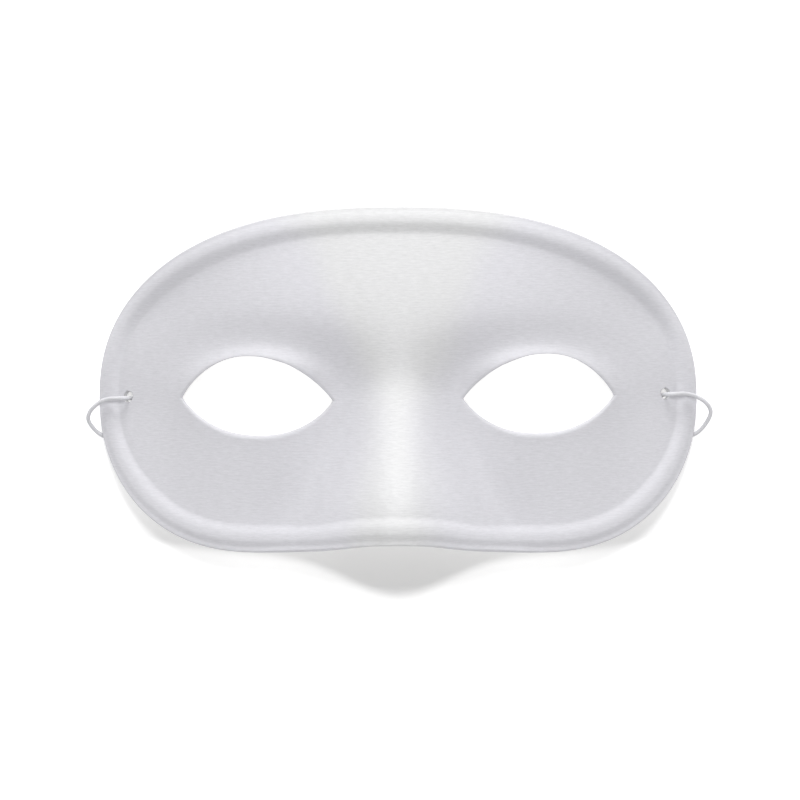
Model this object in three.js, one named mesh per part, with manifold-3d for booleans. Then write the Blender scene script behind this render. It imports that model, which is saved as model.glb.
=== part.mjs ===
import * as THREE from "three";
import { mergeVertices } from "three/addons/utils/BufferGeometryUtils.js";
import Module from "manifold-3d";

// Costume eye mask lying face up on a table, millimetres.
// +X runs across the face, +Y to the forehead, +Z up out of the face; the two side ends rest on z = 0.

// Outline, seen from the front: an upper and a lower superellipse that meet at the waist line,
// the lower one pushed up in the middle by the arch over the nose.
const halfWidth = 79.21;
const waistY = -4.6;
const upperRise = 49.06;
const upperPower = { x: 2.42, y: 2.28 };
const lowerDrop = 51.9;
const lowerPower = { x: 2.304, y: 2.146 };
const archRise = 13.8;
const archPower = 2.616;
const noseNotch = { rise: 0.9, width: 14, power: 3 };

// Sheet
const sheetThickness = 1.5;
const faceHeight = 31.7;
const wrapDepth = 32;
const wrapPower = 2.15;
// The side ends are straightened above the waist so they rest on a line, and lifted a little
// below it so the elastic passes under the edge.
const endStraighten = { limit: 5, reach: 33 };
const endLift = { slope: 0.15, fromY: -5.6, softness: 0.8, fromX: 50 };
const crown = { bend: 0.0037, fromY: -1.3, softness: 0.3, width: 49 };
// The nose is a narrow ridge on a broad block, both rising from the bridge to the tip
const nose = { tipY: -33, tipTurn: 1.2, softness: 0.35, reach: 40 };
const noseRidge = { slope: 0.12, fromY: -2, width: 6, grow: 1.8, power: 2.7 };
const noseFlank = { slope: 0.565, fromY: -1, width: 6.5, grow: 15.2, power: 3.7 };
const eye = {
  x: 36.8, y: -5, halfWidth: 19.8, up: 11.2, down: 9.4, upPower: 2.1, downPower: 2.3, soft: 0.87,
  lean: 1.45, tilt: 0.023, rightRaise: 0.6,
};
const eyeBevel = 0.6;
// Valley round the upper inner side of the eye hole, lid that rises to the hole's upper edge,
// hollow between the hole's inner corner and the nose, a shallow dip in the cheek, and a fall of
// the cheek towards the lower edge on each side of the nose
const valley = { depth: 1.6, at: 1.32, inner: 0.3, outer: 0.545, angle: 1.45, focus: 1.75, floor: 0.02 };
const lid = { rise: 0.9, at: 0.88, fade: 0.2, sharpness: 2.2, angle: 1.7, focus: 1.5 };
const innerCorner = { depth: 6.1, x: 16, y: -4.5, halfX: 13, above: 13.1, below: 60 };
const cheek = { depth: 2.4, x: 57, y: -19.8, halfX: 35.5, halfY: 29, fadeFrom: 58, fadeTo: 78 };
const cheekFall = { depth: 4.4, x: 30, y: -46, halfX: 13, halfY: 30 };
// Near the middle line the distance across is rounded off, so these meet without a crease
const centreSoftness = 3;

// Raised roll that follows the edge, measured along the sheet from the edge: a lip, a low outer
// flank up to the crest and an inner flank that steepens down to the foot. Towards the lower edge
// the roll moves inwards and gets lower, and its outer flank gets steeper.
const roll = {
  crest: 2.9, foot: 7.2, shift: 0.45, outer: 2.2, drop: 0.35, lowerDrop: 0.6, height: 1.44, sink: 0.31,
  span: 45, backShare: 0.8, innerPower: 3, footPower: 2.75,
};
const bandStations = [0, 0.7, 1.8, 2.9, 4.4, 5.4, 6.4, 7.9];
const fieldFractions = [0, 0.09, 0.22, 0.38, 0.56, 0.73, 0.88, 1];
const halfColumns = 54;
const columnBunching = 0.35;
const centreRows = 12;
const slopeStep = 0.05;

// Punched holes for the elastic
const cordHole = { radius: 1.5, sides: 16, length: 12, left: [-71.6, -4.3], right: [70.9, -3.5] };

// Elastic
const cordRadius = 0.55;
const cordSides = 8;
const knot = { length: 4.4, radius: 1.7, rings: 6, sides: 12, gap: 0.3 };
const knotLeftAt = [-69.6, -11.8, 1.75];
const knotRightAt = [69.6, -11.6, 1.75];

function softplus(value, softness) {
  return Math.log1p(Math.exp(-Math.abs(value * softness))) / softness + Math.max(value, 0);
}

function smoothstep(low, high, value) {
  const t = Math.min(Math.max((value - low) / (high - low), 0), 1);
  return t * t * (3 - 2 * t);
}

// Height of the sheet's front at a place, for the right half (x from 0 up); the left half mirrors it
function frontHeight(x, y) {
  const above = Math.max(y - waistY, 0) / upperRise;
  const narrowing = endStraighten.limit
    * Math.tanh(endStraighten.reach * above ** upperPower.y / endStraighten.limit);
  let z = faceHeight - wrapDepth * (x / (halfWidth - narrowing)) ** wrapPower;
  z += endLift.slope * softplus(endLift.fromY - y, endLift.softness) * smoothstep(endLift.fromX, halfWidth, x);
  z -= crown.bend * softplus(y - crown.fromY, crown.softness) ** 2 * Math.exp(-((x / crown.width) ** 2));

  const tip = nose.tipTurn * softplus(nose.tipY - y, nose.softness);
  const along = Math.min(Math.max(-y / nose.reach, 0), 1.2);
  [noseRidge, noseFlank].forEach((form) => {
    const fall = softplus(form.fromY - y, nose.softness) - tip;
    z += form.slope * fall * Math.exp(-((x / (form.width + form.grow * along)) ** form.power));
  });

  const away = Math.hypot(x, centreSoftness);
  const across = (away - eye.x) / eye.halfWidth;
  const upward = (y - eye.y) / (y > eye.y ? eye.up : eye.down);
  const level = Math.hypot(across, upward);
  const turn = Math.atan2(upward, -across);
  const share = valley.floor
    + (1 - valley.floor) * Math.exp(-valley.focus * (1 - Math.cos(turn - valley.angle)));
  const spread = level > valley.at ? valley.outer : valley.inner;
  z -= valley.depth * share * Math.exp(-(((level - valley.at) / spread) ** 2));
  const lidShare = (0.5 + 0.5 * Math.tanh(lid.sharpness * Math.sin(turn)))
    * Math.exp(-lid.focus * (1 - Math.cos(turn - lid.angle)));
  z += lid.rise * lidShare * Math.exp(-((Math.max(level - lid.at, 0) / lid.fade) ** 2));
  const cornerReach = y > innerCorner.y ? innerCorner.above : innerCorner.below;
  z -= innerCorner.depth * Math.exp(
    -(((away - innerCorner.x) / innerCorner.halfX) ** 2) - ((y - innerCorner.y) / cornerReach) ** 2);
  const dip = Math.exp(-(((away - cheek.x) / cheek.halfX) ** 2) - ((y - cheek.y) / cheek.halfY) ** 2);
  z -= cheek.depth * dip * (1 - smoothstep(cheek.fadeFrom, cheek.fadeTo, away));
  return z - cheekFall.depth * Math.exp(
    -(((away - cheekFall.x) / cheekFall.halfX) ** 2) - ((y - cheekFall.y) / cheekFall.halfY) ** 2);
}

function slopeAt(x, y) {
  const inside = Math.max(x, slopeStep);
  const alongX = (frontHeight(inside + slopeStep, y) - frontHeight(inside - slopeStep, y)) / (2 * slopeStep);
  const alongY = (frontHeight(x, y + slopeStep) - frontHeight(x, y - slopeStep)) / (2 * slopeStep);
  return [x < slopeStep ? 0 : alongX, alongY];
}

function normalAt(x, y) {
  const [alongX, alongY] = slopeAt(x, y);
  return new THREE.Vector3(-alongX, -alongY, 1).normalize();
}

// Right half of the outline; turn runs from -90 degrees at the bottom to +90 at the top
function outlineAt(turn) {
  const c = Math.max(Math.cos(turn), 0);
  const s = Math.abs(Math.sin(turn));
  if (turn >= 0) {
    return [halfWidth * c ** (2 / upperPower.x), waistY + upperRise * s ** (2 / upperPower.y)];
  }
  const x = halfWidth * c ** (2 / lowerPower.x);
  const arch = archRise * Math.max(1 - (x / halfWidth) ** 2, 0) ** archPower
    + noseNotch.rise * Math.exp(-((x / noseNotch.width) ** noseNotch.power));
  return [x, waistY - lowerDrop * s ** (2 / lowerPower.y) + arch];
}

// Columns along the outline: many small steps are measured and then divided again, closer together
// towards the nose
function outlineColumns(count) {
  const samples = 4000;
  const points = [];
  const lengths = [0];
  for (let k = 0; k <= samples; k += 1) {
    points.push(outlineAt(-Math.PI / 2 + Math.PI * k / samples));
    if (k > 0) {
      lengths.push(lengths[k - 1] + Math.hypot(points[k][0] - points[k - 1][0], points[k][1] - points[k - 1][1]));
    }
  }
  const columns = [];
  let k = 0;
  for (let i = 0; i <= count; i += 1) {
    const even = i / count;
    const wanted = lengths[samples] * (even - columnBunching * Math.sin(Math.PI * even) / Math.PI);
    while (k < samples - 1 && lengths[k + 1] < wanted) {
      k += 1;
    }
    const part = (wanted - lengths[k]) / (lengths[k + 1] - lengths[k]);
    const x = points[k][0] + (points[k + 1][0] - points[k][0]) * part;
    const y = points[k][1] + (points[k + 1][1] - points[k][1]) * part;
    columns.push([i === 0 || i === count ? 0 : x, y]);
  }
  return columns;
}

// Inward direction in plan at each column
function inwardDirections(columns) {
  return columns.map((point, i) => {
    if (i === 0) {
      return [0, 1];
    }
    if (i === columns.length - 1) {
      return [0, -1];
    }
    const dx = columns[i + 1][0] - columns[i - 1][0];
    const dy = columns[i + 1][1] - columns[i - 1][1];
    const length = Math.hypot(dx, dy);
    return [-dy / length, dx / length];
  });
}

function rollHeight(station, edgeY) {
  const below = -edgeY / roll.span;
  const lower = Math.max(below, 0) ** 2;
  const crest = roll.crest + roll.shift * lower;
  const height = roll.height * (1 - roll.sink * below);
  if (station > crest) {
    const inwards = Math.min((station - crest) / (roll.foot - roll.crest), 1);
    return height * (1 - inwards ** roll.innerPower) ** roll.footPower;
  }
  const outwards = Math.min((crest - station) / roll.outer, 1);
  return height - roll.drop * (1 + roll.lowerDrop * lower) * (1 - (1 - outwards * outwards) ** 2);
}

// A place on the front or back of the sheet above the plan point (x, y)
function sheetPoint(x, y, raised, back) {
  const normal = normalAt(x, y);
  const offset = back ? raised * roll.backShare - sheetThickness : raised;
  return new THREE.Vector3(x, y, frontHeight(x, y)).addScaledVector(normal, offset);
}

// Rows of the band from the edge inwards; the last row is the inner foot of the roll
function bandPlan(columns) {
  const inward = inwardDirections(columns);
  return bandStations.map((station) => columns.map(([x, y], i) => {
    const [alongX, alongY] = slopeAt(x, y);
    const slope = alongX * inward[i][0] + alongY * inward[i][1];
    const reach = station / Math.hypot(1, slope);
    return [x + inward[i][0] * reach, y + inward[i][1] * reach];
  }));
}

// Point of the eye hole's edge towards an angle, grown by a margin; the upper edge leans outwards,
// the inner corner sits lower than the outer one and the right hole a little higher than the left
function eyeEdge(angle, margin, side) {
  const c = Math.cos(angle);
  const above = Math.sin(angle) >= 0;
  const power = above ? eye.upPower : eye.downPower;
  const height = (above ? eye.up : -eye.down) + (above ? margin : -margin);
  const rise = Math.max(1 - Math.abs(c) ** power, 0) ** eye.soft;
  const across = (eye.halfWidth + margin) * c;
  const lean = above ? eye.lean * Math.sin(angle) ** 2 : 0;
  const y = side > 0 ? eye.y + eye.rightRaise : eye.y;
  return [eye.x + across + lean, y + eye.tilt * across + height * rise];
}

function halfShell(side) {
  const columns = outlineColumns(halfColumns);
  const band = bandPlan(columns);
  const foot = band[band.length - 1];
  const bottomY = foot[0][1];
  const topY = foot[foot.length - 1][1];
  const loop = [...foot];
  for (let k = 1; k < centreRows; k += 1) {
    loop.push([0, topY + (bottomY - topY) * k / centreRows]);
  }

  const positions = [];
  const place = (point) => [point.x * side, point.y, point.z];
  const addTriangle = (a, b, c) => {
    const ordered = side > 0 ? [a, b, c] : [a, c, b];
    ordered.forEach((point) => positions.push(...place(point)));
  };
  const addQuad = (a, b, c, d) => {
    addTriangle(a, b, c);
    addTriangle(a, c, d);
  };

  const bandRows = [false, true].map((back) => band.map((row, j) => row.map(([x, y], i) => (
    sheetPoint(x, y, rollHeight(bandStations[j], columns[i][1]), back)))));
  const fieldRows = [false, true].map((back) => fieldFractions.map((fraction) => loop.map(([x, y]) => {
    const angle = Math.atan2(y - eye.y, x - eye.x);
    const edge = eyeEdge(angle, back ? 0 : eyeBevel, side);
    if (back) {
      const normal = normalAt(edge[0], edge[1]);
      edge[0] += normal.x * sheetThickness;
      edge[1] += normal.y * sheetThickness;
    }
    return sheetPoint(edge[0] + (x - edge[0]) * fraction, edge[1] + (y - edge[1]) * fraction, 0, back);
  })));
  const [bandFront, bandBack] = bandRows;
  const [fieldFront, fieldBack] = fieldRows;

  for (let j = 0; j + 1 < bandFront.length; j += 1) {
    for (let i = 0; i < halfColumns; i += 1) {
      addQuad(bandFront[j][i], bandFront[j][i + 1], bandFront[j + 1][i + 1], bandFront[j + 1][i]);
      addQuad(bandBack[j][i], bandBack[j + 1][i], bandBack[j + 1][i + 1], bandBack[j][i + 1]);
    }
  }
  for (let i = 0; i < halfColumns; i += 1) {
    addQuad(bandBack[0][i], bandBack[0][i + 1], bandFront[0][i + 1], bandFront[0][i]);
  }
  for (let i = 0; i < loop.length; i += 1) {
    const next = (i + 1) % loop.length;
    for (let j = 0; j + 1 < fieldFractions.length; j += 1) {
      addQuad(fieldFront[j + 1][i], fieldFront[j + 1][next], fieldFront[j][next], fieldFront[j][i]);
      addQuad(fieldBack[j + 1][i], fieldBack[j][i], fieldBack[j][next], fieldBack[j + 1][next]);
    }
    addQuad(fieldFront[0][i], fieldFront[0][next], fieldBack[0][next], fieldBack[0][i]);
  }
  return positions;
}

const wasm = await Module();
wasm.setup();

function toSolid(geometry) {
  geometry.deleteAttribute("normal");
  geometry.deleteAttribute("uv");
  const merged = mergeVertices(geometry, 1e-4);
  return new wasm.Manifold(new wasm.Mesh({
    numProp: 3,
    vertProperties: new Float32Array(merged.attributes.position.array),
    triVerts: new Uint32Array(merged.index.array),
  }));
}

function toGeometry(solid) {
  const mesh = solid.getMesh();
  const geometry = new THREE.BufferGeometry();
  const places = new Float32Array(mesh.vertProperties.length / mesh.numProp * 3);
  for (let i = 0; i < places.length / 3; i += 1) {
    for (let k = 0; k < 3; k += 1) {
      places[i * 3 + k] = mesh.vertProperties[i * mesh.numProp + k];
    }
  }
  geometry.setAttribute("position", new THREE.BufferAttribute(places, 3));
  geometry.setIndex(new THREE.BufferAttribute(new Uint32Array(mesh.triVerts), 1));
  geometry.computeVertexNormals();
  return geometry;
}

function maskShell() {
  const geometry = new THREE.BufferGeometry();
  const positions = new Float32Array([...halfShell(1), ...halfShell(-1)]);
  geometry.setAttribute("position", new THREE.BufferAttribute(positions, 3));
  let solid = toSolid(geometry);

  const tableDepth = 20;
  const table = new THREE.BoxGeometry(halfWidth * 3, halfWidth * 3, tableDepth);
  table.translate(0, 0, -tableDepth / 2);
  solid = solid.subtract(toSolid(table));

  [cordHole.left, cordHole.right].forEach(([x, y]) => {
    const normal = normalAt(Math.abs(x), y);
    normal.x *= Math.sign(x);
    const punch = new THREE.CylinderGeometry(cordHole.radius, cordHole.radius, cordHole.length, cordHole.sides);
    punch.applyQuaternion(new THREE.Quaternion().setFromUnitVectors(new THREE.Vector3(0, 1, 0), normal));
    punch.translate(x, y, frontHeight(Math.abs(x), y));
    solid = solid.subtract(toSolid(punch));
  });
  return toGeometry(solid);
}

function tubeAlong(points, steps) {
  const path = new THREE.CatmullRomCurve3(points.map((p) => new THREE.Vector3(...p)), false, "centripetal");
  const section = new THREE.Shape();
  for (let i = 0; i < cordSides; i += 1) {
    const angle = 2 * Math.PI * (i + 0.5) / cordSides;
    const x = cordRadius * Math.cos(angle);
    const y = cordRadius * Math.sin(angle);
    if (i === 0) {
      section.moveTo(x, y);
    } else {
      section.lineTo(x, y);
    }
  }
  section.closePath();
  const geometry = new THREE.ExtrudeGeometry(section, { steps, extrudePath: path, bevelEnabled: false });
  return toGeometry(toSolid(geometry));
}

// An egg-shaped knot whose long axis points along a direction in plan
function knotSolid(centre, direction) {
  const egg = new THREE.SphereGeometry(1, knot.sides, knot.rings);
  egg.scale(knot.radius, knot.length / 2, knot.radius);
  egg.applyQuaternion(new THREE.Quaternion().setFromUnitVectors(
    new THREE.Vector3(0, 1, 0), new THREE.Vector3(...direction, 0).normalize()));
  egg.translate(...centre);
  return toGeometry(toSolid(egg));
}

const part = new THREE.Group();
part.name = "costume_eye_mask";

function addNode(name, geometry, colour) {
  const node = new THREE.Mesh(geometry, new THREE.MeshStandardMaterial({ color: colour, roughness: 0.8 }));
  node.name = name;
  part.add(node);
}

const fabricWhite = 0xdddce2;
const elasticWhite = 0xe6e6ea;
addNode("mask", maskShell(), fabricWhite);

// Loops: up from the knot, through the hole, over the roll and back under the edge to the knot
const loopLeft = [
  [-69.2, -9.7, 1.9], [-69, -7.5, 2.05], [-69.5, -5.7, 2.8], [-70.65, -4.8, 4.45], [-71.45, -4.72, 5.8],
  [-72.15, -4.72, 6.6], [-73.1, -4.73, 7], [-74.1, -4.75, 6.95], [-74.95, -4.78, 6.55], [-76.5, -4.9, 5.4],
  [-79.1, -5.7, 4.05], [-81.8, -8, 3.1], [-82.5, -10.2, 2.3], [-81.3, -12.6, 1.2], [-78.6, -14.8, 0.6],
  [-75.4, -15.3, 0.6], [-72.3, -14.4, 0.8],
];
const loopRight = [
  [69.2, -9.5, 1.9], [68.7, -7.2, 2.1], [68.9, -5.1, 3.05], [69.95, -3.98, 4.85], [70.8, -3.75, 6.2],
  [71.48, -3.7, 7], [72.42, -3.64, 7.4], [73.42, -3.58, 7.36], [74.25, -3.54, 6.95], [75.8, -3.5, 5.8],
  [78.8, -4.1, 4.3], [82, -6, 3.65], [83.2, -8.3, 2.8], [82.1, -11.3, 1.6], [79.3, -14.2, 0.6],
  [75.7, -15, 0.6], [72.3, -14.2, 0.8],
];
// Strap: from one knot round under the forehead, down under the nose and back to the other knot
const strapHalf = [
  [67.0, -13, 0.9], [64.2, -11.1, 0.6], [62.4, -3.6, 0.6], [62.8, 6.4, 0.6], [60.5, 16.4, 0.6], [53, 24.9, 0.6],
  [41, 29.9, 0.6], [28, 28.9, 0.6], [17.5, 21.9, 0.6], [12.3, 10.4, 0.6], [10.6, -3.6, 0.6],
  [8.2, -17.1, 0.6], [0, -23.1, 0.6],
];
const strapPath = [
  ...strapHalf.map(([x, y, z]) => [-x, y, z]),
  ...strapHalf.slice(0, -1).reverse(),
];
addNode("loop_left", tubeAlong(loopLeft, 16), elasticWhite);
addNode("loop_right", tubeAlong(loopRight, 16), elasticWhite);
addNode("knot_left", knotSolid(knotLeftAt, [1, -0.35]), elasticWhite);
addNode("knot_right", knotSolid(knotRightAt, [1, 0.35]), elasticWhite);
addNode("strap", tubeAlong(strapPath, 48), elasticWhite);

export default part;
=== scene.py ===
import math

import bmesh
import bpy
import numpy as np
from mathutils import Matrix, Vector


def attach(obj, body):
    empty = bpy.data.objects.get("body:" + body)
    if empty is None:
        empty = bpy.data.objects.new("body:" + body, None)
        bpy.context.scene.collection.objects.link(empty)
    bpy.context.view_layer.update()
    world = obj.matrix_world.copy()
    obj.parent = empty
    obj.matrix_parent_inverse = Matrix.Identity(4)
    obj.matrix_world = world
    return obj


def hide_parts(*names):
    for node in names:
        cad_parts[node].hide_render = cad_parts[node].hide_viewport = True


# White fabric half mask lying face up on a pale table.
# The dictionaries are in millimetres, the scene is in metres.
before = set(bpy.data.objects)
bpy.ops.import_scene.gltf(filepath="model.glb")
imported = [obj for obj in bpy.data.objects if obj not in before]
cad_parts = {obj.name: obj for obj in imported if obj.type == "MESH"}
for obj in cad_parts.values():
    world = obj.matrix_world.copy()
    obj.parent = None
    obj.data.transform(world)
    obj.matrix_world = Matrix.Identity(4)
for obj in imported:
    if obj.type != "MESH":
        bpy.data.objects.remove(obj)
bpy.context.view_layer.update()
mm = 0.001
print("frame loaded")

# Camera straight above the face
view = {"x": 0.52, "y": -5.2, "height": 800, "near": 10, "far": 20000, "lens": 134.8, "sensor": 36}
cameraData = bpy.data.cameras.new("camera")
cameraData.lens = view["lens"]
cameraData.sensor_width = view["sensor"]
cameraData.clip_start = view["near"] * mm
cameraData.clip_end = view["far"] * mm
camera = bpy.data.objects.new("camera", cameraData)
camera.location = (view["x"] * mm, view["y"] * mm, view["height"] * mm)
bpy.context.collection.objects.link(camera)
bpy.context.scene.camera = camera
print("camera placed")


def newPiece(name, points, faces, uv, replaced):
    # points in millimetres, faces as lists of point numbers, uv one pair per point
    data = bpy.data.meshes.new(name)
    data.from_pydata((points * mm).tolist(), [], faces)
    corners = np.empty(len(data.loops), dtype=np.int32)
    data.loops.foreach_get("vertex_index", corners)
    layer = data.uv_layers.new(name="cloth")
    layer.data.foreach_set("uv", np.asarray(uv, dtype=np.float32)[corners].ravel())
    data.polygons.foreach_set("use_smooth", np.ones(len(data.polygons), dtype=bool))
    data.update()
    piece = bpy.data.objects.new(name, data)
    bpy.context.collection.objects.link(piece)
    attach(piece, "root")
    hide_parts(replaced)
    return piece


def gridFaces(rows, columns, wrap):
    # quads between neighbouring rows and columns of a grid stored row by row
    across = np.arange(columns if wrap else columns - 1)
    first = (np.arange(rows - 1)[:, None] * columns + across).ravel()
    second = (np.arange(rows - 1)[:, None] * columns + (across + 1) % columns).ravel()
    return np.stack([first, second, second + columns, first + columns], axis=1)


# Elastic: round braided cord, a tied loop through each side hole and the strap behind
elastic = {
    "diameter": 1.1, "sides": 20, "step": 0.3, "splineSteps": 60, "firstSide": (0.35, -0.25, 1),
    "loopLeft": [
        (-69.2, -9.7, 1.9), (-69, -7.5, 2.05), (-69.5, -5.7, 2.8), (-70.65, -4.8, 4.45),
        (-71.45, -4.72, 5.8), (-72.15, -4.72, 6.6), (-73.1, -4.73, 7), (-74.1, -4.75, 6.95),
        (-74.95, -4.78, 6.55), (-76.5, -4.9, 5.4), (-79.1, -5.7, 4.05), (-81.8, -8, 3.1),
        (-82.5, -10.2, 2.3), (-81.3, -12.6, 1.2), (-78.6, -14.8, 0.6), (-75.4, -15.3, 0.6),
        (-72.3, -14.4, 0.8),
    ],
    "loopRight": [
        (69.2, -9.5, 1.9), (68.7, -7.2, 2.1), (68.9, -5.1, 3.05), (69.95, -3.98, 4.85), (70.8, -3.75, 6.2),
        (71.48, -3.7, 7), (72.42, -3.64, 7.4), (73.42, -3.58, 7.36), (74.25, -3.54, 6.95), (75.8, -3.5, 5.8),
        (78.8, -4.1, 4.3), (82, -6, 3.65), (83.2, -8.3, 2.8), (82.1, -11.3, 1.6), (79.3, -14.2, 0.6),
        (75.7, -15, 0.6), (72.3, -14.2, 0.8),
    ],
    "strapHalf": [
        (67.0, -13, 0.9), (64.2, -11.1, 0.6), (62.4, -3.6, 0.6), (62.8, 6.4, 0.6), (60.5, 16.4, 0.6),
        (53, 24.9, 0.6), (41, 29.9, 0.6), (28, 28.9, 0.6), (17.5, 21.9, 0.6), (12.3, 10.4, 0.6),
        (10.6, -3.6, 0.6), (8.2, -17.1, 0.6), (0, -23.1, 0.6),
    ],
}
knots = {
    "left": (-69.6, -11.8, 1.75), "right": (69.6, -11.6, 1.75),
    "size": 0.42, "tall": 0.85, "strand": 0.5, "rings": 220, "sides": 16,
}


def smoothPath(points, step):
    # centripetal spline through the listed points, resampled to equal steps
    p = np.array(points, float)
    p = np.vstack([2 * p[0] - p[1], p, 2 * p[-1] - p[-2]])
    times = np.concatenate([[0], np.cumsum(np.linalg.norm(np.diff(p, axis=0), axis=1) ** 0.5)])
    fine = []
    for k in range(1, len(p) - 2):
        k0, k1, k2, k3 = times[k - 1:k + 3]
        t = np.linspace(k1, k2, elastic["splineSteps"])[:, None]
        a = (k1 - t) / (k1 - k0) * p[k - 1] + (t - k0) / (k1 - k0) * p[k]
        b = (k2 - t) / (k2 - k1) * p[k] + (t - k1) / (k2 - k1) * p[k + 1]
        c = (k3 - t) / (k3 - k2) * p[k + 1] + (t - k2) / (k3 - k2) * p[k + 2]
        early = (k2 - t) / (k2 - k0) * a + (t - k0) / (k2 - k0) * b
        late = (k3 - t) / (k3 - k1) * b + (t - k1) / (k3 - k1) * c
        fine.append((k2 - t) / (k2 - k1) * early + (t - k1) / (k2 - k1) * late)
    fine = np.vstack(fine)
    run = np.concatenate([[0], np.cumsum(np.linalg.norm(np.diff(fine, axis=0), axis=1))])
    even = np.linspace(0, run[-1], int(round(run[-1] / step)) + 1)
    return np.stack([np.interp(even, run, fine[:, axis]) for axis in range(3)], axis=1)


def untwistedSides(path):
    # two directions square to the path: each side is the one before it, less what runs along the path
    ahead = np.gradient(path, axis=0)
    ahead /= np.linalg.norm(ahead, axis=1)[:, None]
    side = np.zeros_like(path)
    carried = np.array(elastic["firstSide"], float)
    for k, direction in enumerate(ahead):
        carried = carried - direction * carried.dot(direction)
        carried /= np.linalg.norm(carried)
        side[k] = carried
    return side, np.cross(ahead, side)


def ringsAlong(path, side, other, radius, sides):
    # ring point = path + radius * (side * cos + other * sin)
    angle = np.linspace(0, 2 * np.pi, sides, endpoint=False)[:, None]
    return path[:, None] + radius * (side[:, None] * np.cos(angle) + other[:, None] * np.sin(angle))


def tubeCloth(sides, along):
    # u runs once round the tube, v is the millimetres along it
    around = np.arange(sides) / sides
    return np.stack(np.broadcast_arrays(around, along[:, None]), axis=-1).reshape(-1, 2)


def tieKnot(name, centre, replaced):
    # trefoil: x = sin t + 2 sin 2t, y = cos t - 2 cos 2t, z = -sin 3t, with a strand carried along it
    t = np.linspace(0, 2 * np.pi, knots["rings"], endpoint=False)
    path = np.stack([np.sin(t) + 2 * np.sin(2 * t), np.cos(t) - 2 * np.cos(2 * t), -np.sin(3 * t)], axis=1)
    path = path * [knots["size"], knots["size"], knots["tall"]] + centre
    ahead = np.roll(path, -1, axis=0) - np.roll(path, 1, axis=0)
    ahead /= np.linalg.norm(ahead, axis=1)[:, None]
    outward = path - centre
    outward -= ahead * np.sum(outward * ahead, axis=1)[:, None]
    outward /= np.linalg.norm(outward, axis=1)[:, None]
    rings = ringsAlong(path, outward, np.cross(ahead, outward), knots["strand"], knots["sides"])
    rows, columns = rings.shape[:2]
    faces = gridFaces(rows + 1, columns, True) % (rows * columns)
    along = np.linalg.norm(path - np.roll(path, 1, axis=0), axis=1).cumsum()
    uv = tubeCloth(columns, along)
    return newPiece(name, rings.reshape(-1, 3), faces.tolist(), uv, replaced)


def layCord(name, points, replaced):
    path = smoothPath(points, elastic["step"])
    side, other = untwistedSides(path)
    rings = ringsAlong(path, side, other, elastic["diameter"] / 2, elastic["sides"])
    rows, columns = rings.shape[:2]
    faces = gridFaces(rows, columns, True).tolist()
    faces.append(list(range(columns))[::-1])
    faces.append(list(range((rows - 1) * columns, rows * columns)))
    uv = tubeCloth(columns, np.arange(rows) * elastic["step"])
    piece = newPiece(name, rings.reshape(-1, 3), faces, uv, replaced)
    return piece


knotLeft = tieKnot("knot_tied_left", knots["left"], "knot_left")
knotRight = tieKnot("knot_tied_right", knots["right"], "knot_right")
leftHalf = [(-x, y, z) for x, y, z in elastic["strapHalf"]]
strapPoints = leftHalf + elastic["strapHalf"][-2::-1]
loopLeft = layCord("elastic_loop_left", elastic["loopLeft"], "loop_left")
loopRight = layCord("elastic_loop_right", elastic["loopRight"], "loop_right")
strap = layCord("elastic_strap", strapPoints, "strap")

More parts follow.
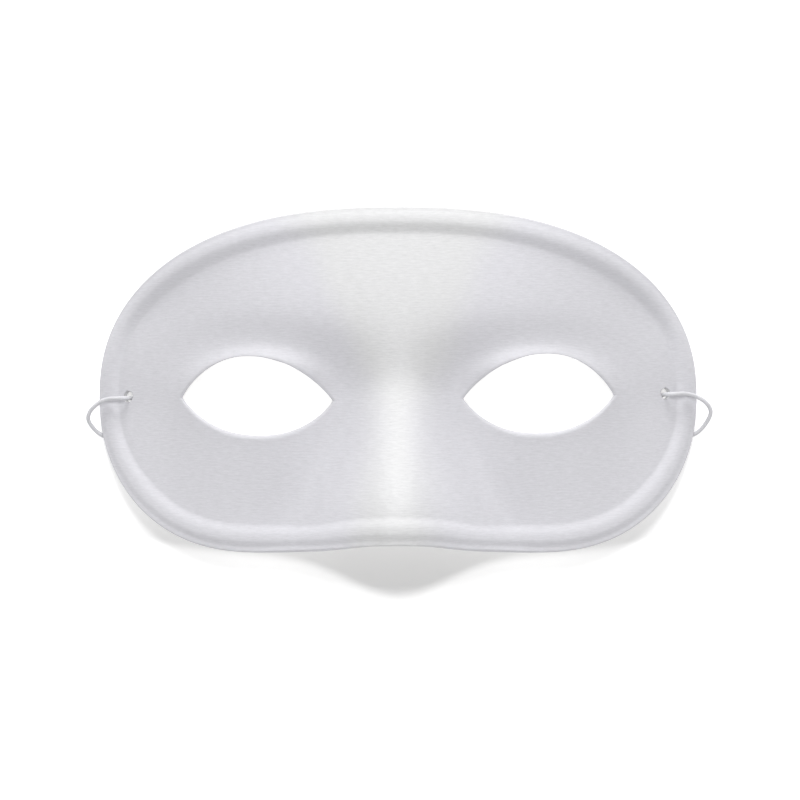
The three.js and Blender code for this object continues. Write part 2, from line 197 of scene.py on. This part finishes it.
# Mask shell: pressed sheet with the fabric wrapped over its front and cut edges.
# The eye hole, its lid and every dip are given for the right half and mirrored.
shell = {
    "halfWidth": 79.21, "waistY": -4.6, "thickness": 1.5, "edgeRadius": 0.45, "centreSoftness": 3,
    "upper": {"rise": 49.06, "powerX": 2.42, "powerY": 2.28},  # outline above the waist
    "lower": {  # outline below the waist, with an arch and a small notch under the nose
        "drop": 51.9, "powerX": 2.304, "powerY": 2.146, "arch": 13.8, "archPower": 2.616,
        "notch": 0.9, "notchWidth": 14, "notchPower": 3,
    },
    "wrap": {"height": 31.7, "depth": 32, "power": 2.15, "straighten": 5, "reach": 33},  # fall to the sides
    "lift": {"slope": 0.15, "fromY": -5.6, "softness": 0.8, "fromX": 50},  # lower side ends
    "crown": {"bend": 0.0037, "fromY": -1.3, "softness": 0.3, "width": 49},  # forehead
    "nose": {
        "tipY": -33, "tipTurn": 1.2, "softness": 0.35, "reach": 40, "widest": 1.2,
        "ridge": {"slope": 0.12, "fromY": -2, "width": 6, "grow": 1.8, "power": 2.7},
        "flank": {"slope": 0.565, "fromY": -1, "width": 6.5, "grow": 15.2, "power": 3.7},
    },
    "eye": {
        "x": 36.8, "y": -5, "halfWidth": 19.8, "up": 11.2, "down": 9.4, "upPower": 2.1, "downPower": 2.3,
        "soft": 0.87, "lean": 1.45, "tilt": 0.023, "rightRaise": 0.6,
        "roundOver": 1.1, "roundTilt": 0.2, "roundDepth": 0.95, "depthTilt": 0.5, "roundTurn": 1.05,
        "cutShare": 0.9, "backMargin": 0.15,
    },
    "valley": {  # socket above and beside the eye hole
        "depth": 1.6, "at": 1.32, "inner": 0.3, "outer": 0.545, "angle": 1.45, "focus": 1.75, "floor": 0.02,
    },
    "lid": {"rise": 0.9, "at": 0.88, "fade": 0.2, "sharpness": 2.2, "angle": 1.7, "focus": 1.5},
    "corner": {"depth": 6.1, "x": 16, "y": -4.5, "halfX": 13, "above": 13.1, "below": 60},  # beside the nose
    "cheek": {"depth": 2.4, "x": 57, "y": -19.8, "halfX": 35.5, "halfY": 29, "fadeFrom": 58, "fadeTo": 78},
    "fold": {"depth": 4.4, "x": 30, "y": -46, "halfX": 13, "halfY": 30},  # fall under the eye hole
    "roll": {
        "crest": 2.9, "foot": 7.2, "shift": 0.45, "outer": 2.2, "drop": 0.35, "lowerDrop": 0.6,
        "height": 1.44, "sink": 0.31, "span": 45, "backShare": 0.8, "innerPower": 3, "footPower": 2.75,
    },
    "cordHole": {"radius": 1.5, "length": 12, "sides": 48, "left": (-71.6, -4.3), "right": (70.9, -3.5)},
}

# Rows and columns of the shell's grids, and how far out the cloth's run is worked out
grids = {
    "outlineSteps": 20000, "columns": 300, "centreRows": 72, "rowPower": 1.25,
    "bandRows": 34, "edgeRows": 6, "backBandRows": 14,
    "fieldRows": 44, "roundRows": 7, "backFieldRows": 18,
    "clothReach": 90, "clothSteps": 900, "weldDigits": 5,
}


def softplus(value, softness):
    # nought below nought and the value itself above it, with a soft turn between
    return np.logaddexp(0, value * softness) / softness


def smoothstep(low, high, value):
    t = np.clip((value - low) / (high - low), 0, 1)
    return t * t * (3 - 2 * t)


def bell(x, y, dip, halfY):
    # 1 at the dip's middle, fading with the square of the distance counted in its half sizes
    return np.exp(-((x - dip["x"]) / dip["halfX"]) ** 2 - ((y - dip["y"]) / halfY) ** 2)


def sheetForm(x, y):
    # height - depth * (x / half width)^power, + lift of the lower side ends, - square fall of the forehead
    wrap, lift, crown = shell["wrap"], shell["lift"], shell["crown"]
    above = np.maximum(y - shell["waistY"], 0) / shell["upper"]["rise"]
    narrowing = np.tanh(wrap["reach"] * above ** shell["upper"]["powerY"] / wrap["straighten"])
    halfWidth = shell["halfWidth"] - wrap["straighten"] * narrowing
    z = wrap["height"] - wrap["depth"] * (x / halfWidth) ** wrap["power"]
    sideShare = smoothstep(lift["fromX"], shell["halfWidth"], x)
    z = z + lift["slope"] * softplus(lift["fromY"] - y, lift["softness"]) * sideShare
    fall = crown["bend"] * softplus(y - crown["fromY"], crown["softness"]) ** 2
    return z - fall * np.exp(-(x / crown["width"]) ** 2)


def noseForm(x, y):
    # narrow ridge + broad flank; each = slope * way down the nose * exp(-(x / growing width)^power)
    nose = shell["nose"]
    tip = nose["tipTurn"] * softplus(nose["tipY"] - y, nose["softness"])
    along = np.clip(-y / nose["reach"], 0, nose["widest"])
    z = 0
    for part in (nose["ridge"], nose["flank"]):
        way = softplus(part["fromY"] - y, nose["softness"]) - tip
        width = part["width"] + part["grow"] * along
        z = z + part["slope"] * way * np.exp(-(x / width) ** part["power"])
    return z


def socketForm(x, y):
    # lid, highest at the hole's upper edge, - valley, a bell over level that is deepest above the hole;
    # level = distance from the hole's middle, 1 at its edge; turn = 0 towards the nose, a quarter at the top
    eye, valley, lid = shell["eye"], shell["valley"], shell["lid"]
    across = (x - eye["x"]) / eye["halfWidth"]
    upward = (y - eye["y"]) / np.where(y > eye["y"], eye["up"], eye["down"])
    level = np.hypot(across, upward)
    turn = np.arctan2(upward, -across)
    above = np.exp(-valley["focus"] * (1 - np.cos(turn - valley["angle"])))
    share = valley["floor"] + (1 - valley["floor"]) * above
    spread = np.where(level > valley["at"], valley["outer"], valley["inner"])
    sink = valley["depth"] * share * np.exp(-((level - valley["at"]) / spread) ** 2)
    upperShare = 0.5 + 0.5 * np.tanh(lid["sharpness"] * np.sin(turn))
    upperShare = upperShare * np.exp(-lid["focus"] * (1 - np.cos(turn - lid["angle"])))
    fade = np.exp(-(np.maximum(level - lid["at"], 0) / lid["fade"]) ** 2)
    return lid["rise"] * upperShare * fade - sink


def frontHeight(x, y):
    # sheet + nose + socket - hollow beside the nose - dip in the cheek - fall under the eye hole
    corner, cheek, fold = shell["corner"], shell["cheek"], shell["fold"]
    x = np.abs(x)
    form = sheetForm(x, y) + noseForm(x, y)
    x = np.sqrt(x * x + shell["centreSoftness"] ** 2)  # keeps the bridge free of a crease
    hollow = bell(x, y, corner, np.where(y > corner["y"], corner["above"], corner["below"]))
    dip = bell(x, y, cheek, cheek["halfY"]) * (1 - smoothstep(cheek["fadeFrom"], cheek["fadeTo"], x))
    fall = bell(x, y, fold, fold["halfY"])
    return form + socketForm(x, y) - corner["depth"] * hollow - cheek["depth"] * dip - fold["depth"] * fall


def frontNormal(x, y):
    # unit vector square to the front, from its slopes over a small step each way
    step = 0.05
    alongX = (frontHeight(x + step, y) - frontHeight(x - step, y)) / (2 * step)
    alongY = (frontHeight(x, y + step) - frontHeight(x, y - step)) / (2 * step)
    length = np.sqrt(1 + alongX ** 2 + alongY ** 2)
    return np.stack([-alongX / length, -alongY / length, 1 / length], axis=-1)


def outlineColumns():
    # right half of the outline from bottom middle to top middle: two superellipses, equal steps
    turn = np.linspace(-np.pi / 2, np.pi / 2, grids["outlineSteps"] + 1)
    c, s = np.clip(np.cos(turn), 0, 1), np.abs(np.sin(turn))
    upper, lower = shell["upper"], shell["lower"]
    x = shell["halfWidth"] * np.where(turn >= 0, c ** (2 / upper["powerX"]), c ** (2 / lower["powerX"]))
    arch = lower["arch"] * np.maximum(1 - (x / shell["halfWidth"]) ** 2, 0) ** lower["archPower"]
    arch = arch + lower["notch"] * np.exp(-(x / lower["notchWidth"]) ** lower["notchPower"])
    low = -lower["drop"] * s ** (2 / lower["powerY"]) + arch
    y = shell["waistY"] + np.where(turn >= 0, upper["rise"] * s ** (2 / upper["powerY"]), low)
    run = np.concatenate([[0], np.cumsum(np.hypot(np.diff(x), np.diff(y)))])
    even = np.linspace(0, run[-1], grids["columns"] + 1)
    outline = np.stack([np.interp(even, run, x), np.interp(even, run, y)], axis=1)
    outline[[0, -1], 0] = 0
    ahead = np.gradient(outline, axis=0)
    inward = np.stack([-ahead[:, 1], ahead[:, 0]], axis=1)
    inward /= np.linalg.norm(inward, axis=1)[:, None]
    inward[0], inward[-1] = (0, 1), (0, -1)
    return outline, inward


def eyeEdge(angle, margin, raised):
    # almond: x = half width * cos + lean, y = height * (1 - |cos|^power)^soft, tilted, widened by the margin
    eye = shell["eye"]
    c, above = np.cos(angle), np.sin(angle) >= 0
    power = np.where(above, eye["upPower"], eye["downPower"])
    height = np.where(above, eye["up"] + margin, -eye["down"] - margin)
    rise = np.maximum(1 - np.abs(c) ** power, 0) ** eye["soft"]
    across = (eye["halfWidth"] + margin) * c
    lean = np.where(above, eye["lean"] * np.sin(angle) ** 2, 0)
    y = eye["y"] + raised + eye["tilt"] * across + height * rise
    return np.stack([eye["x"] + across + lean, y], axis=-1)


def bandGrid():
    # rows from the roll's inner foot on the front, out over the roll, round the cut edge and back behind;
    # roll = height * (1 - t^innerPower)^footPower from its crest in to its foot,
    # and height - drop * (1 - (1 - t^2)^2) from its crest out to the lip
    roll, radius, thickness = shell["roll"], shell["edgeRadius"], shell["thickness"]
    quarter = np.linspace(0, np.pi / 2, grids["edgeRows"])
    front = np.linspace(roll["foot"] + roll["shift"], radius, grids["bandRows"])
    back = np.linspace(radius, front[0], grids["backBandRows"])
    closing, opening = radius * (1 - np.sin(quarter)), radius * (1 - np.cos(quarter))
    station = np.concatenate([front[:-1], closing, [0], opening, back[1:]])
    depth = np.concatenate([
        0 * front[:-1], opening, [thickness / 2], thickness - closing, thickness + 0 * back[1:],
    ])
    edgeRows = (len(front) - 1, len(front) + 2 * len(quarter) - 2)
    share = np.interp(np.arange(len(station)), edgeRows, [1, roll["backShare"]])  # lower roll behind
    outline, inward = outlineColumns()
    lean = frontNormal(outline[:, 0], outline[:, 1])
    slope = -np.sum(lean[:, :2] * inward, axis=1) / lean[:, 2]
    plan = outline + inward * (station[:, None] / np.hypot(1, slope))[..., None]
    below = -outline[:, 1] / roll["span"]
    lower = np.maximum(below, 0) ** 2
    crest = roll["crest"] + roll["shift"] * lower
    past = station[:, None] - crest
    inner = np.clip(past / (roll["foot"] - roll["crest"]), 0, 1)
    outer = np.clip(-past / roll["outer"], 0, 1)
    height = roll["height"] * (1 - roll["sink"] * below)
    drop = roll["drop"] * (1 + roll["lowerDrop"] * lower)
    innerFlank = height * (1 - inner ** roll["innerPower"]) ** roll["footPower"]
    outerFlank = height - drop * (1 - (1 - outer ** 2) ** 2)
    rise = np.where(past > 0, innerFlank, outerFlank) * share[:, None]
    frontRows = len(station) - len(back) + 1
    return plan, rise - depth[:, None], frontRows


def fieldGrid(foot, raised):
    # rows from the roll's foot on the front to the eye hole, over its rounded edge, and out again behind;
    # columns run once round: up the foot line, then down the middle of the face
    eye, thickness = shell["eye"], shell["thickness"]
    middle = np.linspace(foot[-1, 1], foot[0, 1], grids["centreRows"] + 1)[1:-1]
    loop = np.vstack([foot, np.stack([0 * middle, middle], axis=1)])
    angle = np.arctan2(loop[:, 1] - eye["y"], loop[:, 0] - eye["x"])
    margin = eye["roundOver"] - eye["roundTilt"] * np.sin(angle)
    rounding = eye["roundDepth"] - eye["depthTilt"] * np.sin(angle)
    plans, offsets = [], []

    def addRow(margins, depth, fraction):
        # the eye hole's edge, sunk by the depth, then moved towards the loop by the fraction
        edge = eyeEdge(angle, margins, raised)
        depth = depth + 0 * angle
        edge = edge + frontNormal(edge[:, 0], edge[:, 1])[:, :2] * depth[:, None]
        plans.append(edge + (loop - edge) * fraction)
        offsets.append(-depth)

    for fraction in np.linspace(1, 0, grids["fieldRows"]) ** grids["rowPower"]:
        addRow(margin, 0, fraction)
    for bend in np.linspace(0, eye["roundTurn"], grids["roundRows"] + 1)[1:]:
        inwards = np.sin(bend) / np.sin(eye["roundTurn"])
        addRow(margin * (1 - inwards), rounding * (1 - np.cos(bend)), 0)
    addRow(0 * margin, thickness * eye["cutShare"], 0)
    frontRows = len(plans)
    for fraction in np.linspace(0, 1, grids["backFieldRows"]) ** grids["rowPower"]:
        addRow(0 * margin + eye["backMargin"], thickness, fraction)
    return np.array(plans), np.array(offsets), frontRows


def buildShell():
    # point = place on the front + its normal * offset, never under the table; the grids of both halves
    # share their border points, which are merged; the cloth's u is the way along the wrap's own curve
    wrap, halfWidth = shell["wrap"], shell["halfWidth"]
    band = bandGrid()
    run = np.linspace(0, grids["clothReach"], grids["clothSteps"] + 1)
    lean = wrap["depth"] * wrap["power"] / halfWidth * (run / halfWidth) ** (wrap["power"] - 1)
    clothRun = np.concatenate([[0], np.cumsum(np.hypot(1, lean[1:]) * np.diff(run))])
    points, faces, uv, lined, total = [], [], [], [], 0
    for side in (1, -1):
        field = fieldGrid(band[0][0], shell["eye"]["rightRaise"] if side > 0 else 0)
        for (plan, offset, frontRows), wraps, flip in ((band, False, False), (field, True, True)):
            x, y = plan[..., 0], plan[..., 1]
            place = np.concatenate([plan, frontHeight(x, y)[..., None]], axis=-1)
            place = (place + frontNormal(x, y) * offset[..., None]).reshape(-1, 3)
            place[:, 2] = np.maximum(place[:, 2], 0)
            quads = gridFaces(plan.shape[0], plan.shape[1], wraps)
            cloth = np.stack([np.interp(x, run, clothRun).ravel(), y.ravel()], axis=1)
            points.append(place * [side, 1, 1])
            uv.append(cloth * [side, 1])
            reverse = (side < 0) != flip
            faces.append((quads[:, ::-1] if reverse else quads) + total)
            quadsPerRow = len(quads) // (len(plan) - 1)
            lined.append(np.arange(len(quads)) // quadsPerRow >= frontRows)
            total += len(place)
    points, uv, faces = np.vstack(points), np.vstack(uv), np.vstack(faces)
    rounded = np.round(points, grids["weldDigits"]) + 0.0  # adding nought turns -0 into 0
    first, same = np.unique(rounded, axis=0, return_index=True, return_inverse=True)[1:]
    return points[first], same.ravel()[faces].tolist(), uv[first], np.concatenate(lined).astype(np.int32)


def punchHoles(piece):
    # one round cutter along the sheet's normal at each side
    hole = shell["cordHole"]
    cutter = bmesh.new()
    for x, y in (hole["left"], hole["right"]):
        x, y = np.array([x]), np.array([y])
        middle = np.concatenate([x, y, frontHeight(x, y)])
        turn = Vector(frontNormal(x, y)[0]).to_track_quat("Z", "Y").to_matrix().to_4x4()
        bmesh.ops.create_cone(
            cutter, cap_ends=True, segments=hole["sides"], radius1=hole["radius"] * mm,
            radius2=hole["radius"] * mm, depth=hole["length"] * mm,
            matrix=Matrix.Translation(Vector(middle * mm)) @ turn,
        )
    data = bpy.data.meshes.new("punch")
    cutter.to_mesh(data)
    cutter.free()
    punch = bpy.data.objects.new("punch", data)
    bpy.context.collection.objects.link(punch)
    cut = piece.modifiers.new("punch", "BOOLEAN")
    cut.operation = "DIFFERENCE"
    cut.solver = "EXACT"
    cut.object = punch
    bpy.context.view_layer.update()
    result = bpy.data.meshes.new_from_object(piece.evaluated_get(bpy.context.evaluated_depsgraph_get()))
    piece.modifiers.clear()
    piece.data = result
    bpy.data.objects.remove(punch)


def newMaterial(name, finish):
    # finish gives the shader's own sockets what is the same all over the surface
    material = bpy.data.materials.new(name)
    material.use_nodes = True
    nodes = material.node_tree.nodes
    nodes.clear()
    output = nodes.new("ShaderNodeOutputMaterial")
    shader = nodes.new("ShaderNodeBsdfPrincipled")
    material.node_tree.links.new(shader.outputs["BSDF"], output.inputs["Surface"])
    for socket, value in finish.items():
        shader.inputs[socket].default_value = value
    return material, shader


def plug(material, value, socket):
    # another node's output is linked, anything else is set
    if isinstance(value, bpy.types.NodeSocket):
        material.node_tree.links.new(value, socket)
    else:
        socket.default_value = value


def addNode(material, kind, **settings):
    # each setting is one of the node's properties or, with its blanks as underscores, one of its sockets
    node = material.node_tree.nodes.new(kind)
    for key, value in settings.items():
        if hasattr(node, key):
            setattr(node, key, value)
        else:
            plug(material, value, node.inputs[key.replace("_", " ")])
    return node


def mathNode(material, operation, first, second=0):
    node = addNode(material, "ShaderNodeMath", operation=operation)
    plug(material, first, node.inputs[0])
    plug(material, second, node.inputs[1])
    return node.outputs[0]


def rangeNode(material, value, low, high, **settings):
    # low to high becomes 0 to 1, unless the settings say otherwise
    node = addNode(material, "ShaderNodeMapRange", Value=value, From_Min=low, From_Max=high, **settings)
    return node.outputs[0]


def mixColours(material, share, first, second):
    node = addNode(material, "ShaderNodeMix", data_type="RGBA")
    for number, value in ((0, share), (6, first), (7, second)):
        plug(material, value, node.inputs[number])
    return node.outputs[2]


def splitPlace(material, place):
    node = addNode(material, "ShaderNodeSeparateXYZ")
    plug(material, place, node.inputs[0])
    return node.outputs[0], node.outputs[1]


def addRelief(material, shader, height, look):
    bump = addNode(
        material, "ShaderNodeBump", Strength=look["bump"], Distance=look["depth"] * mm, Height=height,
    )
    plug(material, bump.outputs[0], shader.inputs["Normal"])


# Fabric: crinkled satin whose threads run across the face, over a plain white lining
cloths = {
    "face": {
        # neutral is the cloth's own colour; the cooler side colour is a painted tint of light where the face
        # turns away
        "neutral": (0.62, 0.62, 0.625, 1), "paintedSideTint": (0.6, 0.596, 0.627, 1), "cloud": 0.03, "swing": 16,
        "sideTintFrom": 10, "sideTintTo": 22, "litBrow": 0.45,
        "streak": (0.36, 2.5), "grain": (0.9, 3.6), "thread": 2.6,
        "shade": 0.085, "bump": 0.62, "depth": 0.05,
        "finish": {
            "Roughness": 0.78, "Specular IOR Level": 0.3, "Sheen Weight": 0.1, "Sheen Roughness": 0.5,
        },
    },
    "lining": {
        "neutral": (0.6, 0.595, 0.585, 1), "paintedSideTint": (0.57, 0.565, 0.56, 1), "cloud": 0.05, "swing": 60,
        "sideTintFrom": 20, "sideTintTo": 90, "litBrow": 0,
        "streak": (1.1, 1.2), "grain": (3.1, 3.3), "thread": 1.3,
        "shade": 0.1, "bump": 0.35, "depth": 0.04,
        "finish": {
            "Roughness": 0.92, "Specular IOR Level": 0.15, "Sheen Weight": 0.03, "Sheen Roughness": 0.5,
        },
    },
}
weave = {
    "streakDetail": 3, "streakRoughness": 0.65, "grainDetail": 2, "grainRoughness": 0.6,
    "grainShare": 0.45, "threadShare": 0.12, "threadBend": 4, "lowest": 0.45, "highest": 1,
}


def stretchedNoise(material, cloth, scale, detail, roughness):
    place = addNode(material, "ShaderNodeMapping", Vector=cloth, Scale=(scale[0], scale[1], 1)).outputs[0]
    noise = addNode(
        material, "ShaderNodeTexNoise", Vector=place, Scale=1, Detail=detail, Roughness=roughness,
    )
    return noise.outputs["Fac"]


def makeFabric(name, look):
    # height = long crinkles + short grain + crossing threads, all laid out in millimetres of cloth;
    # colour = neutral near the middle line and over the brow, cooler away from it, with a clouded border: a
    # painted tint of the light, neutral where it falls full and cooler where the face turns away from it;
    # and darker where the height is low, a painted shade in the hollows of the weave
    material, shader = newMaterial(name, look["finish"])
    cloth = addNode(material, "ShaderNodeUVMap", uv_map="cloth").outputs["UV"]
    across, upward = splitPlace(material, cloth)
    streak = stretchedNoise(material, cloth, look["streak"], weave["streakDetail"], weave["streakRoughness"])
    grain = stretchedNoise(material, cloth, look["grain"], weave["grainDetail"], weave["grainRoughness"])
    bend = mathNode(material, "MULTIPLY", streak, weave["threadBend"])
    waves = []
    for way in (across, upward):
        turns = mathNode(material, "MULTIPLY", way, 2 * math.pi * look["thread"])
        waves.append(mathNode(material, "SINE", mathNode(material, "ADD", turns, bend)))
    threads = mathNode(material, "MULTIPLY", mathNode(material, "MULTIPLY", *waves), weave["threadShare"])
    height = mathNode(material, "ADD", mathNode(material, "MULTIPLY", grain, weave["grainShare"]), streak)
    height = mathNode(material, "ADD", height, threads)

    # painted light: the colour turns cooler with distance from the middle line and stays neutral over the lit
    # brow
    cloud = addNode(material, "ShaderNodeTexNoise", Vector=cloth, Scale=look["cloud"], Detail=1)
    swing = mathNode(material, "MULTIPLY", cloud.outputs["Fac"], look["swing"])
    away = mathNode(material, "ADD", mathNode(material, "ABSOLUTE", across), swing)
    litBrow = mathNode(material, "MULTIPLY", mathNode(material, "MAXIMUM", upward, 0), look["litBrow"])
    away = mathNode(material, "SUBTRACT", away, litBrow)
    sideTintShare = rangeNode(material, away, look["sideTintFrom"], look["sideTintTo"], interpolation_type="SMOOTHSTEP")
    colour = mixColours(material, sideTintShare, look["neutral"], look["paintedSideTint"])
    # painted shade and light: the base colour is darker in the weave's low parts and lighter on its high
    # parts
    shade = rangeNode(
        material, height, weave["lowest"], weave["highest"], clamp=False,
        To_Min=1 - look["shade"], To_Max=1 + look["shade"],
    )
    scaled = addNode(material, "ShaderNodeVectorMath", operation="SCALE", Scale=shade)
    plug(material, colour, scaled.inputs[0])
    plug(material, scaled.outputs[0], shader.inputs["Base Color"])
    addRelief(material, shader, height, look)
    return material


shellPoints, shellFaces, shellCloth, lined = buildShell()
maskShell = newPiece("mask_shell", shellPoints, shellFaces, shellCloth, "mask")
maskShell.data.materials.append(makeFabric("mask_face_fabric", cloths["face"]))
maskShell.data.materials.append(makeFabric("mask_lining", cloths["lining"]))
maskShell.data.polygons.foreach_set("material_index", lined)
print("shell built,", len(shellFaces), "quads")
punchHoles(maskShell)
print("cord holes punched,", len(maskShell.data.polygons), "faces")

# Braid of the elastic
braid = {
    "light": (0.78, 0.78, 0.8, 1), "grooveShade": (0.55, 0.55, 0.58, 1), "strands": 6, "pitch": 0.55,
    "bump": 0.6, "depth": 0.06, "finish": {"Roughness": 0.7},
}


def makeBraid():
    # two sets of strands wind round the cord in opposite senses; height = sine of one * sine of the other
    material, shader = newMaterial("elastic_braid", braid["finish"])
    cloth = addNode(material, "ShaderNodeUVMap", uv_map="cloth").outputs["UV"]
    around, along = splitPlace(material, cloth)
    run = mathNode(material, "MULTIPLY", along, 2 * math.pi / braid["pitch"])
    waves = []
    for strands in (braid["strands"], -braid["strands"]):
        turns = mathNode(material, "MULTIPLY", around, 2 * math.pi * strands)
        waves.append(mathNode(material, "SINE", mathNode(material, "ADD", turns, run)))
    height = mathNode(material, "MULTIPLY", *waves)
    # colour = painted shade in the grooves between strands, rising to the cord's own light colour on their
    # crests
    colour = mixColours(material, rangeNode(material, height, -1, 1), braid["grooveShade"], braid["light"])
    plug(material, colour, shader.inputs["Base Color"])
    addRelief(material, shader, height, braid)
    return material


braidMaterial = makeBraid()
for piece in (loopLeft, loopRight, strap, knotLeft, knotRight):
    piece.data.materials.append(braidMaterial)
print("materials made")

# Table: a white sheet that glows like a light table, with a painted shadow along the mask's lower edge
tableTop = {
    # the weaker glow in a zone drawn in front of the lower edge and nose is a painted shadow
    "size": 3000, "strength": 0.38, "shadowZoneGlow": 0.06, "edgeY": -46.5, "soft": 2,
    "bulge": 11, "bulgeWidth": 19, "rise": 5.5, "riseAt": 70, "hiddenFrom": -56, "hiddenTo": -20,
    "finish": {
        "Base Color": (0.97, 0.97, 0.97, 1), "Roughness": 0.9, "Specular IOR Level": 0.1,
        "Emission Color": (1, 1, 1, 1),
    },
}


def makeTableGlowWithPaintedShadow():
    # glow = weak zone glow + (strength - weak zone glow) * the larger of two soft steps: one out past the
    # border, one back under the mask; border = edge + rise * (x / riseAt)^4 - bulge * exp(-(x /
    # bulgeWidth)^2), bulged at the nose;
    # the weaker glow inside the border is a painted shadow in front of the mask's lower edge and nose
    material, shader = newMaterial("table_white_painted_shadow", tableTop["finish"])
    place = splitPlace(material, addNode(material, "ShaderNodeTexCoord").outputs["Object"])
    across, upward = (mathNode(material, "DIVIDE", way, mm) for way in place)
    square = mathNode(material, "MULTIPLY", across, across)
    bulge = mathNode(material, "EXPONENT", mathNode(material, "DIVIDE", square, -tableTop["bulgeWidth"] ** 2))
    bulge = mathNode(material, "MULTIPLY", bulge, tableTop["bulge"])
    rise = mathNode(material, "MULTIPLY", square, square)
    rise = mathNode(material, "MULTIPLY", rise, tableTop["rise"] / tableTop["riseAt"] ** 4)
    below = mathNode(material, "SUBTRACT", mathNode(material, "SUBTRACT", rise, bulge), upward)
    nearEdge, farEdge = -tableTop["edgeY"] - tableTop["soft"], -tableTop["edgeY"] + tableTop["soft"]
    past = rangeNode(material, below, nearEdge, farEdge, interpolation_type="SMOOTHSTEP")
    under = (tableTop["hiddenFrom"], tableTop["hiddenTo"])
    hidden = rangeNode(material, upward, *under, interpolation_type="SMOOTHSTEP")
    share = mathNode(material, "MAXIMUM", past, hidden)
    extra = mathNode(material, "MULTIPLY", share, tableTop["strength"] - tableTop["shadowZoneGlow"])
    plug(material, mathNode(material, "ADD", extra, tableTop["shadowZoneGlow"]), shader.inputs["Emission Strength"])
    return material


half = tableTop["size"] / 2 * mm
tableData = bpy.data.meshes.new("table")
tableCorners = [(-half, -half, 0), (half, -half, 0), (half, half, 0), (-half, half, 0)]
tableData.from_pydata(tableCorners, [], [(0, 1, 2, 3)])
tableData.materials.append(makeTableGlowWithPaintedShadow())
table = bpy.data.objects.new("table", tableData)
bpy.context.collection.objects.link(table)

# Light: an even white dome, a low softbox from the far side and a small one high up
studio = {
    "dome": 0.565,
    "key": {"size": 600, "distance": 1300, "elevation": 20, "power": 9.95},
    "overhead": {"size": 80, "distance": 450, "elevation": 77, "power": 0.75},
}


def hangLight(name, light):
    # square softbox aimed at the middle of the table, raised by its elevation from the far side
    data = bpy.data.lights.new(name, "AREA")
    data.shape = "SQUARE"
    data.size = light["size"] * mm
    data.energy = light["power"]
    lamp = bpy.data.objects.new(name, data)
    tilt = math.radians(90 - light["elevation"])
    distance = light["distance"] * mm
    lamp.location = (0, distance * math.sin(tilt), distance * math.cos(tilt))
    lamp.rotation_euler = (-tilt, 0, 0)
    bpy.context.collection.objects.link(lamp)


for lightName in ("key", "overhead"):
    hangLight(lightName, studio[lightName])
world = bpy.data.worlds.new("studio")
world.use_nodes = True
world.node_tree.nodes["Background"].inputs["Color"].default_value = (1, 1, 1, 1)
world.node_tree.nodes["Background"].inputs["Strength"].default_value = studio["dome"]
bpy.context.scene.world = world
bpy.context.scene.view_settings.view_transform = "Standard"
bpy.context.scene.view_settings.look = "None"
print("studio lit")
